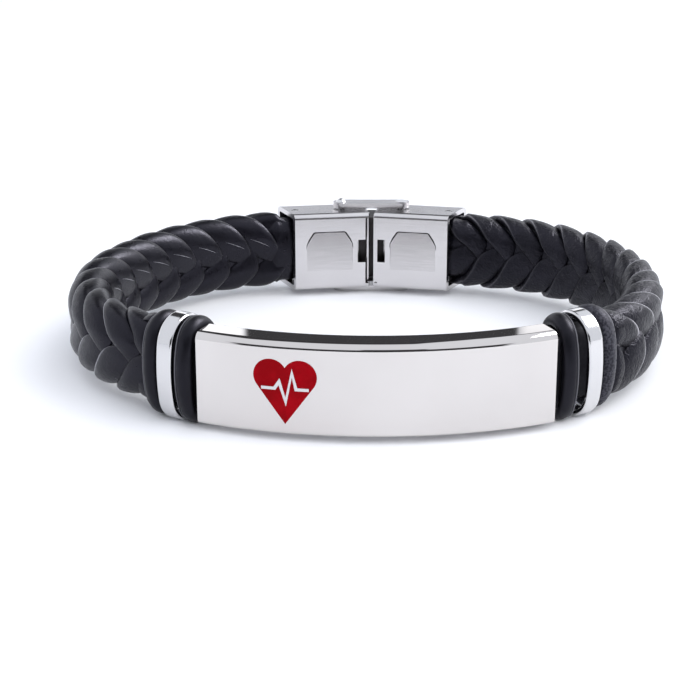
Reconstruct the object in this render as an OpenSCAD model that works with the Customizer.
// Braided leather identity bracelet, fastened and standing on its edge.
// +Z is up, the identity plate faces -Y and the clasp lies at +Y.
// Each side of the loop is worked out with x counted outwards from the plate's middle,
// and the left side is that shape mirrored.

/* [Identity plate] */
// Straight width of the plate's face, from corner to corner
plate_chord = 44.6; // [42:0.2:46]
// Radius of the plate's face, seen from above
plate_face_r = 53.5; // [51:0.5:56]
// Height of the plate
plate_h = 12; // [11.6:0.1:12.4]
// Depth of the plate, from face to wrist side
plate_t = 4; // [3.9:0.1:4.3]
// Wall of the plate, which is a flat tube
plate_wall = 1; // [0.8:0.05:1]
// Rounding of the plate's long edges
plate_edge_r = 0.8; // [0.4:0.1:0.9]

/* [Emblem] */
// Distance from the plate's middle to the emblem's middle, along the face
emblem_offset = 11.3; // [8:0.1:14]
// Depth of the enamelled pocket
pocket_depth = 0.4; // [0.3:0.05:0.5]
// Radius of the two lobes of the heart
heart_lobe_r = 2.15; // [1.9:0.05:2.3]
// Width of the steel pulse line left standing in the enamel
pulse_w = 0.4; // [0.3:0.05:0.5]

/* [Rings] */
// Height of the steel and stop rings, which the bracelet stands on
ring_h = 14; // [13.8:0.1:14.4]
// Width of the rubber stop ring along the band
stop_w = 2.4; // [2.2:0.05:2.4]
// Thickness of the stop ring from wrist side to outside
stop_t = 8; // [7.9:0.1:8.3]
// Width of the steel ring along the band
steel_w = 2.3; // [2.1:0.05:2.35]
// Thickness of the steel ring from wrist side to outside
steel_t = 8.2; // [8.1:0.1:8.6]
// Wall of the steel ring
steel_wall = 0.9; // [0.7:0.05:1]
// Width of the narrow rubber end ring along the band
end_w = 2.2; // [2:0.05:2.25]
// Thickness of the end ring from wrist side to outside
end_t = 8; // [7.9:0.1:8.3]
// Free space between stop ring and steel ring on the left, at the strap
left_ring_gap = 0.05; // [0.05:0.05:0.5]
// Free space between stop ring and steel ring on the right, at the strap
right_ring_gap = 0.5; // [0.45:0.05:0.7]

/* [Braid] */
// Height of the braid over its strands
braid_h = 11.1; // [10.6:0.1:11.4]
// Thickness of the braid over its strands
braid_t = 6.2; // [5.8:0.1:6.4]
// Depth of the grooves between strands
groove_depth = 0.85; // [0.4:0.05:0.9]
// Length of braid from one strand to the next
strand_pitch = 5.05; // [4.6:0.05:5.6]
// How straight the left braid leaves its rings
left_start_pull = 25.5; // [22:0.5:29]
// How straight the left braid enters the clasp
left_end_pull = 22; // [19:0.5:26]
// How straight the right braid leaves its rings
right_start_pull = 18; // [15:0.5:22]
// How straight the right braid enters the clasp
right_end_pull = 26.5; // [23:0.5:30]

/* [Clasp] */
// Height of the clasp housings
clasp_h = 12; // [11.8:0.1:12]
// Depth of the clasp housings, from wrist side to outside
clasp_t = 6.4; // [6.2:0.1:6.8]
// Sheet thickness of the housings
clasp_wall = 0.7; // [0.6:0.05:0.75]
// Length of the clasp's wrist-side plates
inner_plate_l = 10.8; // [10.6:0.1:11.2]
// How much further the outer plates reach over the braid
mouth_slant = 2; // [1:0.1:2.2]
// Space between the wrist-side plates at the seam
seam_gap = 1.8; // [1.6:0.1:2]
// Turn of the left housing against the plate's direction
left_yaw = 8; // [7:0.5:9]
// Turn of the right housing against the plate's direction
right_yaw = 11; // [10:0.5:12]
// Distance between the two rivets of a link bar
rivet_span = 9.3; // [9:0.1:9.6]
// Thickness of the link bars
link_t = 0.8; // [0.6:0.05:0.8]
// Width of the link bars
link_w = 2.4; // [2.2:0.1:2.6]

/* [Hidden] */
$fn = 64;

steel = [0.82, 0.82, 0.84];
leather = [0.12, 0.12, 0.14];
rubber = [0.08, 0.08, 0.09];
enamel = [0.72, 0.05, 0.08];

// Place of the plate's middle against the origin, which is the middle of the whole loop
plate_x = 0.98;
plate_y = -33.68;
mid_z = ring_h / 2;
// Clearance between pieces that lie in each other or side by side
fit_gap = 0.3;
side_gap = 0.15;
overshoot = 1;

// Identity plate
plate_mid_r = plate_face_r - plate_t / 2;
plate_end_deg = asin(plate_chord / 2 / plate_face_r);

// Rings, at their distances along the strap from the middle of the stop ring
ring_open_t = 5;
function ring_gap(side) = side < 0 ? left_ring_gap : right_ring_gap;
function steel_space(side) = side < 0 ? 0.29 : 0.8;
function braid_space(side) = side < 0 ? 0.63 : 0.2;
function steel_at(side) = stop_w / 2 + ring_gap(side) + steel_w / 2;
function end_at(side) = steel_at(side) + steel_w / 2 + steel_space(side) + end_w / 2;
function braid_at(side) = end_at(side) + end_w / 2 + braid_space(side);
// Turn of each ring against the strap, and how far it lies off the strap's middle, outwards
function stop_lean(side) = side < 0 ? 1.6 : 17.8;
function steel_lean(side) = side < 0 ? 1.7 : 7.6;
function end_lean(side) = side < 0 ? -2.6 : -1.7;
function steel_off(side) = side < 0 ? 0.07 : 0.39;
function braid_off(side) = side < 0 ? -0.73 : 0.38;

// Strap
strap_block = [3.4, 10];
strap_block_r = 1.6;
function strap_block_at(side) = side < 0 ? -0.75 : -1.9;
strap_reach = 1.1;
braid_tuck_l = 1.6;
strap_thin = [plate_t - 2 * plate_wall - 0.4, plate_h - 2 * plate_wall - 0.6];

// A frame is [x, y, direction in degrees], with y counted from the plate's face
plate_end = [plate_mid_r * sin(plate_end_deg),
             plate_t / 2 + plate_mid_r * (1 - cos(plate_end_deg)), plate_end_deg];
function turn_deg(r, l) = l / r * 180 / PI;
function ahead(f, l) = [f[0] + l * cos(f[2]), f[1] + l * sin(f[2]), f[2]];
function leaning(f, deg) = [f[0], f[1], f[2] - deg];
function outwards(f, l) = [f[0] + l * sin(f[2]), f[1] - l * cos(f[2]), f[2]];
// The strap leaves the plate towards the wrist and runs straight through the rings
function strap_from(side) = side < 0 ? [0.92, 1.56] : [1.52, 2.52];
function strap_deg(side) = side < 0 ? 33.7 : 41.3;
function strap_frame(side, s) = let (from = strap_from(side))
    ahead([plate_end[0] + from[0], plate_end[1] + from[1], strap_deg(side)], s);

// Clasp, with each housing's own x running outwards from the seam
seam_y = 60.95;
plate_cutback = 0.5;
catch_at = 1.6;
catch_wall = 0.6;
strap_pin_at = 10.5;
strap_pin_r = 0.5;
tongue_t = 4.4;
tongue_l = 8.2;
rivet_r = 0.6;
rivet_clear = 0.05;
function yaw(side) = side < 0 ? left_yaw : right_yaw;
function clasp_point(side, x, y) = [seam_gap / 2 + x * cos(yaw(side)) + y * sin(yaw(side)),
                                    seam_y - x * sin(yaw(side)) + y * cos(yaw(side))];
mouth_at = inner_plate_l + mouth_slant + 2 * side_gap;

// Centre line of the braid: one curve from the rings to the clasp's mouth
function start_pull(side) = side < 0 ? left_start_pull : right_start_pull;
function end_pull(side) = side < 0 ? left_end_pull : right_end_pull;
function braid_lean(side) = side < 0 ? 3.7 : -0.7;
function braid_start(side) =
    leaning(outwards(strap_frame(side, braid_at(side)), braid_off(side)), braid_lean(side));
function braid_end(side) = let (p = clasp_point(side, mouth_at, clasp_t / 2))
    [p[0], p[1], 180 - yaw(side)];
function guide_points(side) = let (a = braid_start(side), b = braid_end(side))
    [[a[0], a[1]],
     [a[0] + start_pull(side) * cos(a[2]), a[1] + start_pull(side) * sin(a[2])],
     [b[0] - end_pull(side) * cos(b[2]), b[1] - end_pull(side) * sin(b[2])],
     [b[0], b[1]]];
function curve_point(g, t) = pow(1 - t, 3) * g[0] + 3 * pow(1 - t, 2) * t * g[1]
    + 3 * (1 - t) * t * t * g[2] + t * t * t * g[3];
function curve_slope(g, t) = 3 * pow(1 - t, 2) * (g[1] - g[0])
    + 6 * (1 - t) * t * (g[2] - g[1]) + 3 * t * t * (g[3] - g[2]);
curve_steps = 60;
function lengths(g, i = 1, sum = 0, rows = [[0, 0]]) = i > curve_steps ? rows
    : let (l = sum + norm(curve_point(g, i / curve_steps) - curve_point(g, (i - 1) / curve_steps)))
      lengths(g, i + 1, l, concat(rows, [[l, i / curve_steps]]));

// Braid section and strands
around = 24;
steps_per_strand = 6;
oval_power = 0.8;
lead_per_half_turn = around / 2 / steps_per_strand;
tip_height = 0.45;
tuck_half = [2, 4.8];
tongue_half = [tongue_t / 2, 5];

function pillow(phase) = let (f = phase - floor(phase)) sqrt(max(0, 1 - pow(2 * f - 1, 2)));
// Strand height at a station counted in strands and an angle, 0 outside and 90 on top
function strand_height(station, angle, lead) =
    let (lower = angle > 180, from_middle = lower ? 360 - angle : angle,
         phase = station + lead * lead_per_half_turn * from_middle / 180 + (lower ? 0.5 : 0),
         seam = angle % 180 == 0 ? tip_height : 1)
    groove_depth * seam * pillow(phase);
function oval_point(half, angle) =
    [half[0] * sign(cos(angle)) * pow(abs(cos(angle)), oval_power),
     half[1] * sign(sin(angle)) * pow(abs(sin(angle)), oval_power)];
// Puts a section point [outwards, up] at a frame
function place(f, q) = [f[0] + q[0] * sin(f[2]), f[1] - q[0] * cos(f[2]), q[1]];

module on_side(side) {
    translate([plate_x, plate_y, mid_z]) mirror([side < 0 ? 1 : 0, 0, 0]) children();
}

module at_frame(f) {
    translate([f[0], f[1], 0]) rotate([0, 0, f[2]]) children();
}

// A rectangle of size [w, h] around the origin, with round corners
module rounded(size, r) {
    square([size[0] - 2 * r, size[1]], center = true);
    square([size[0], size[1] - 2 * r], center = true);
    for (x = [-1, 1], y = [-1, 1])
        translate([x * (size[0] / 2 - r), y * (size[1] / 2 - r)]) circle(r);
}

// Sweeps a section [outwards, up] along x
module straight_sweep(l) {
    rotate([90, 0, 90]) linear_extrude(l) children();
}

// Sweeps a section [outwards, up] along a bend that starts in direction start_deg
module bend_sweep(r, start_deg, deg) {
    rotate([0, 0, start_deg - 90]) rotate_extrude(angle = deg) translate([r, 0]) children();
}

// Everything at the plate is swept about this axis
module at_plate_axis() {
    translate([plate_x, plate_y + plate_face_r, mid_z]) children();
}

// Heart, drawn inside its edge by inset
module heart(inset = 0) {
    r = heart_lobe_r - inset;
    lobe = [0.86 * heart_lobe_r, 0.74 * heart_lobe_r];
    tip_y = -2.15 * heart_lobe_r + 1.3 * inset;
    reach = norm([lobe[0], lobe[1] - tip_y]);
    a = atan2(lobe[1] - tip_y, lobe[0]) - asin(r / reach);
    side = [lobe[0] + r * sin(a), lobe[1] - r * cos(a)];
    polygon([[0, tip_y], side, lobe, [0, lobe[1] + 0.4 * r], [-lobe[0], lobe[1]], [-side[0], side[1]]]);
    for (s = [-1, 1]) translate([s * lobe[0], lobe[1]]) circle(r);
}

// Pulse line across the heart, of width w
module pulse_line(w) {
    beat = [[-2.9, 0], [-1.3, 0], [-0.7, 0.9], [0.1, -1.7], [0.9, 2.1], [1.4, 0], [2.9, 0]];
    for (i = [1 : len(beat) - 1]) {
        step = beat[i] - beat[i - 1];
        translate(beat[i - 1]) rotate(atan2(step[1], step[0]))
            translate([-w / 4, -w / 2]) square([norm(step) + w / 2, w]);
    }
}

// A flat outline at the emblem's place, from a depth under the plate's face outwards
module at_emblem(depth, thickness) {
    at_plate_axis() rotate([0, 0, -turn_deg(plate_face_r, emblem_offset)])
        translate([0, depth - plate_face_r, 0]) rotate([90, 0, 0]) linear_extrude(thickness) children();
}

module id_plate() {
    color(steel) difference() {
        at_plate_axis() bend_sweep(plate_mid_r, -plate_end_deg, 2 * plate_end_deg) difference() {
            rounded([plate_t, plate_h], plate_edge_r);
            rounded([plate_t - 2 * plate_wall, plate_h - 2 * plate_wall], 0.4);
        }
        at_emblem(pocket_depth, pocket_depth + overshoot) difference() {
            heart();
            pulse_line(pulse_w);
        }
    }
}

module emblem_enamel() {
    inset = 0.03;
    // The enamel is flat, so its middle lies this deep where its edges meet the curved face
    face_sag = pow(2 * heart_lobe_r, 2) / 2 / plate_face_r;
    color(enamel) at_emblem(pocket_depth - inset, pocket_depth - inset - face_sag) difference() {
        heart(inset);
        pulse_line(pulse_w + 2 * inset);
    }
}

// Leather strap: thin inside the plate, thick where it carries the rings
module plate_strap() {
    thin_deg = plate_end_deg + turn_deg(plate_mid_r, strap_reach);
    color(leather) {
        at_plate_axis() bend_sweep(plate_mid_r, -thin_deg, 2 * thin_deg) rounded(strap_thin, 0.3);
        for (side = [-1, 1]) on_side(side) at_frame(strap_frame(side, strap_block_at(side)))
            straight_sweep(braid_at(side) - braid_tuck_l - side_gap - strap_block_at(side))
            rounded(strap_block, strap_block_r);
    }
}

// Oval ring around x with round ends. Its profile [out, along x] counts from the ends' centres.
module oval_ring(h, t) {
    reach = (h - t) / 2;
    for (s = [-1, 1]) {
        translate([0, 0, s * reach]) rotate([0, 90, 0]) rotate([0, 0, s * 90])
            rotate_extrude(angle = 180) children();
        linear_extrude(2 * reach, center = true) mirror([0, s < 0 ? 1 : 0])
            mirror([1, 0]) rotate(90) children();
    }
}

// Round-backed rubber ring profile around an opening
module rubber_profile(w, t) {
    crown_r = w / 2;
    inner = ring_open_t / 2;
    intersection() {
        union() {
            translate([t / 2 - crown_r, 0]) circle(crown_r);
            translate([0, -w / 2]) square([t / 2 - crown_r, w]);
        }
        translate([inner, -w]) square([t, 2 * w]);
    }
}

module stop_ring(side) {
    ridge_r = 0.12;
    ridge_deg = 28;
    crown_r = stop_w / 2;
    color(rubber) on_side(side) at_frame(leaning(strap_frame(side, 0), stop_lean(side)))
        oval_ring(ring_h, stop_t) {
            union() {
                rubber_profile(stop_w, stop_t);
                translate([stop_t / 2 - crown_r + crown_r * cos(ridge_deg), crown_r * sin(ridge_deg)])
                    circle(ridge_r, $fn = 16);
            }
        }
}

module steel_ring(side) {
    middle = outwards(strap_frame(side, steel_at(side)), steel_off(side));
    color(steel) on_side(side) at_frame(leaning(middle, steel_lean(side)))
        oval_ring(ring_h, steel_t)
        translate([steel_t / 2 - steel_wall / 2, 0]) rounded([steel_wall, steel_w], 0.35);
}

module end_ring(side) {
    color(rubber) on_side(side) at_frame(leaning(strap_frame(side, end_at(side)), end_lean(side)))
        oval_ring(ring_h - 0.2, end_t) rubber_profile(end_w, end_t);
}

// One stretch of braid, from its tuck in the end ring to its tongue in the clasp
module braid(side) {
    guide = guide_points(side);
    table = lengths(guide);
    whole_l = table[curve_steps][0];
    strands = round((whole_l - 2 * side_gap) / strand_pitch);
    steps = strands * steps_per_strand;
    step_l = (whole_l - 2 * side_gap) / steps;
    lead = side;
    groove_half = [braid_t / 2 - groove_depth, braid_h / 2 - groove_depth];
    function frame_at(s) = let (t = lookup(s, table), p = curve_point(guide, t), d = curve_slope(guide, t))
        [p[0], p[1], atan2(d[1], d[0])];
    function plain_ring(f, half) =
        [for (j = [0 : around - 1]) place(f, oval_point(half, j * 360 / around))];
    function strand_ring(i) = let (f = frame_at(side_gap + i * step_l)) [for (j = [0 : around - 1])
        let (angle = j * 360 / around, rise = strand_height(i / steps_per_strand, angle, lead))
        place(f, oval_point([groove_half[0] + rise, groove_half[1] + rise], angle))];
    rings = concat(
        [plain_ring(strap_frame(side, braid_at(side) - braid_tuck_l), tuck_half)],
        [plain_ring(braid_start(side), tuck_half)],
        [for (i = [0 : steps]) strand_ring(i)],
        [plain_ring(braid_end(side), tongue_half)],
        [plain_ring(ahead(braid_end(side), tongue_l), tongue_half)]);
    last = len(rings) - 1;
    function corner(i, j) = i * around + j % around;
    // The diagonals of the quads follow the strands
    function rises(j) = (j < around / 2 ? lead : -lead) > 0;
    walls = [for (i = [0 : last - 1], j = [0 : around - 1], k = [0, 1]) rises(j)
        ? (k == 0 ? [corner(i, j), corner(i, j + 1), corner(i + 1, j)]
                  : [corner(i + 1, j), corner(i, j + 1), corner(i + 1, j + 1)])
        : (k == 0 ? [corner(i, j), corner(i + 1, j + 1), corner(i + 1, j)]
                  : [corner(i, j), corner(i, j + 1), corner(i + 1, j + 1)])];
    caps = [[for (j = [around - 1 : -1 : 0]) corner(0, j)], [for (j = [0 : around - 1]) corner(last, j)]];
    color(leather) on_side(side) difference() {
        polyhedron([for (r = rings) for (p = r) p], concat(walls, caps), convexity = 6);
        at_clasp(side) translate([strap_pin_at, clasp_t / 2, 0])
            cylinder(r = strap_pin_r + rivet_clear, h = clasp_h + overshoot, center = true);
    }
}

// Housing frame: x outwards from the seam, y from wrist side to outside, z up from mid-height
module at_clasp(side) {
    p = clasp_point(side, 0, 0);
    translate([p[0], p[1], 0]) rotate([0, 0, -yaw(side)]) children();
}

// Stamped tab: a D-shaped dent, deep at its top edge and running out at the bottom
module stamped_tab() {
    tab = [7, 6];
    tab_mid = [5.5, 0.1];
    dent = 0.4;
    translate([tab_mid[0], 0, tab_mid[1]]) intersection() {
        rotate([90, 0, 0]) linear_extrude(4, center = true)
            polygon([[-2.3, tab[1] / 2], [2.3, tab[1] / 2], [tab[0] / 2, 0.9],
                     [tab[0] / 2, -tab[1] / 2], [-tab[0] / 2, -tab[1] / 2], [-tab[0] / 2, 0.9]]);
        translate([0, 0, -tab[1] / 2]) rotate([-atan2(dent, tab[1]), 0, 0])
            translate([-tab[0], -4, -tab[1]]) cube([2 * tab[0], 4, 3 * tab[1]]);
    }
}

module housing(side) {
    reach = inner_plate_l + mouth_slant;
    notch = [1.2, 3.6];
    rivet = rivet_place(side);
    difference() {
        translate([-plate_cutback, clasp_t / 2, 0]) straight_sweep(reach + plate_cutback)
            rounded([clasp_t, clasp_h], 0.8);
        translate([-overshoot, clasp_t / 2, 0]) straight_sweep(catch_at + overshoot)
            rounded([clasp_t - 2 * clasp_wall, clasp_h - 2 * clasp_wall], 0.3);
        translate([catch_at + catch_wall, clasp_t / 2, 0]) straight_sweep(reach)
            rounded([clasp_t - 2 * clasp_wall, clasp_h - 2 * clasp_wall], 0.3);
        // Slanted mouth
        translate([inner_plate_l, 0, 0]) rotate([0, 0, -atan2(mouth_slant, clasp_t)])
            translate([0, -clasp_t, -clasp_h]) cube([2 * reach, 4 * clasp_t, 2 * clasp_h]);
        // Wrist-side plate, cut back at the seam and notched at mid-height
        translate([-overshoot, -overshoot, -clasp_h / 2 + 0.8])
            cube([overshoot, overshoot + clasp_wall + 0.2, clasp_h - 1.6]);
        translate([-overshoot, -overshoot, -notch[1] / 2])
            cube([overshoot + notch[0], overshoot + clasp_wall + 0.2, notch[1]]);
        stamped_tab();
        for (s = [-1, 1]) {
            translate([rivet[0], rivet[1], s * clasp_h / 2])
                cylinder(r = rivet_r + rivet_clear, h = 2, center = true);
            translate([strap_pin_at, clasp_t / 2, s * clasp_h / 2])
                cylinder(r = strap_pin_r + rivet_clear, h = 2, center = true);
        }
    }
}

// Place of a link rivet in its housing's own x and y
link_y = seam_y + 3.1;
function rivet_place(side) = let (out = rivet_span / 2 - seam_gap / 2, back = link_y - seam_y)
    [out * cos(yaw(side)) - back * sin(yaw(side)), out * sin(yaw(side)) + back * cos(yaw(side))];

// Catch tongue, which crosses the seam into the right housing
catch_size = [7.6, 1.2, 9.4];
catch_depth = 3.4;
catch_x = -catch_at - seam_gap / 2 - 0.9;
catch_post_r = 0.3;

module clasp_left() {
    color(steel) {
        on_side(-1) at_clasp(-1) {
            housing(-1);
            // Round catch post that shows in the seam
            translate([-0.55, 1.3, 0])
                cylinder(r = catch_post_r, h = clasp_h - clasp_wall, center = true);
        }
        translate([plate_x + catch_x, plate_y + seam_y + catch_depth - catch_size[1] / 2,
                   mid_z - catch_size[2] / 2]) cube(catch_size);
    }
}

module clasp_right() {
    lip = [0.6, 0.6];
    slot = [3, 2.6, catch_size[2] + 2 * fit_gap];
    color(steel) on_side(1) {
        difference() {
            at_clasp(1) housing(1);
            translate([seam_gap / 2 + catch_at - 0.6, seam_y + catch_depth - slot[1] / 2, -slot[2] / 2])
                cube(slot);
        }
        // Lip that closes the seam, between the upper and the lower wall
        at_clasp(1) translate([-0.65, 0.35, -(clasp_h - clasp_wall) / 2])
            cube([lip[0], lip[1], clasp_h - clasp_wall]);
    }
}

// Link bar with round ends, lying on z = 0 and reaching upwards
module link_bar() {
    difference() {
        linear_extrude(link_t) {
            square([rivet_span, link_w], center = true);
            for (s = [-1, 1]) translate([s * rivet_span / 2, 0]) circle(link_w / 2);
        }
        for (s = [-1, 1]) translate([s * rivet_span / 2, 0, -overshoot])
            cylinder(r = rivet_r + rivet_clear, h = link_t + 2 * overshoot);
    }
}

link_rest = (ring_h - clasp_h) / 2 - link_t;

module top_link() {
    color(steel) translate([plate_x, plate_y + link_y, ring_h - link_t]) link_bar();
}

module bottom_link() {
    color(steel) translate([plate_x, plate_y + link_y, 0]) link_bar();
}

// Rivet through link bar and housing wall, with its outer face on z = 0 and its foot below
module rivet(head_r, head_h, dome) {
    foot_h = 0.3;
    shank = link_t + link_rest + clasp_wall + side_gap;
    translate([0, 0, -shank]) cylinder(r = rivet_r, h = shank);
    translate([0, 0, -shank - foot_h]) cylinder(r = rivet_r + 0.2, h = foot_h);
    if (dome) {
        cap_r = (head_r * head_r + head_h * head_h) / 2 / head_h;
        intersection() {
            translate([0, 0, head_h - cap_r]) sphere(cap_r);
            translate([0, 0, 0.02]) cylinder(r = head_r + overshoot, h = head_h);
        }
        cylinder(r = head_r - 0.02, h = 0.04);
    } else if (head_h > 0) {
        cylinder(r = head_r, h = head_h);
    }
}

module rivet_at(side, top) {
    translate([plate_x + side * rivet_span / 2, plate_y + link_y, top ? ring_h : 0])
        mirror([0, 0, top ? 0 : 1]) children();
}

module strap_pin(side) {
    color(steel) on_side(side) at_clasp(side) translate([strap_pin_at, clasp_t / 2, 0])
        cylinder(r = strap_pin_r, h = clasp_h - 0.2, center = true);
}

id_plate();
emblem_enamel();
plate_strap();
stop_ring(-1);  // left_stop_ring
stop_ring(1);  // right_stop_ring
steel_ring(-1);  // left_steel_ring
steel_ring(1);  // right_steel_ring
end_ring(-1);  // left_end_ring
end_ring(1);  // right_end_ring
braid(-1);  // left_braid
braid(1);  // right_braid
clasp_left();
clasp_right();
top_link();
bottom_link();
rivet_at(-1, true) color(steel) rivet(0.8, 0.5, true);  // top_left_rivet
rivet_at(1, true) color(steel) rivet(0.9, 0.1, false);  // top_right_rivet
rivet_at(-1, false) color(steel) rivet(0, 0, false);  // bottom_left_rivet
rivet_at(1, false) color(steel) rivet(0, 0, false);  // bottom_right_rivet
strap_pin(-1);  // left_strap_pin
strap_pin(1);  // right_strap_pin
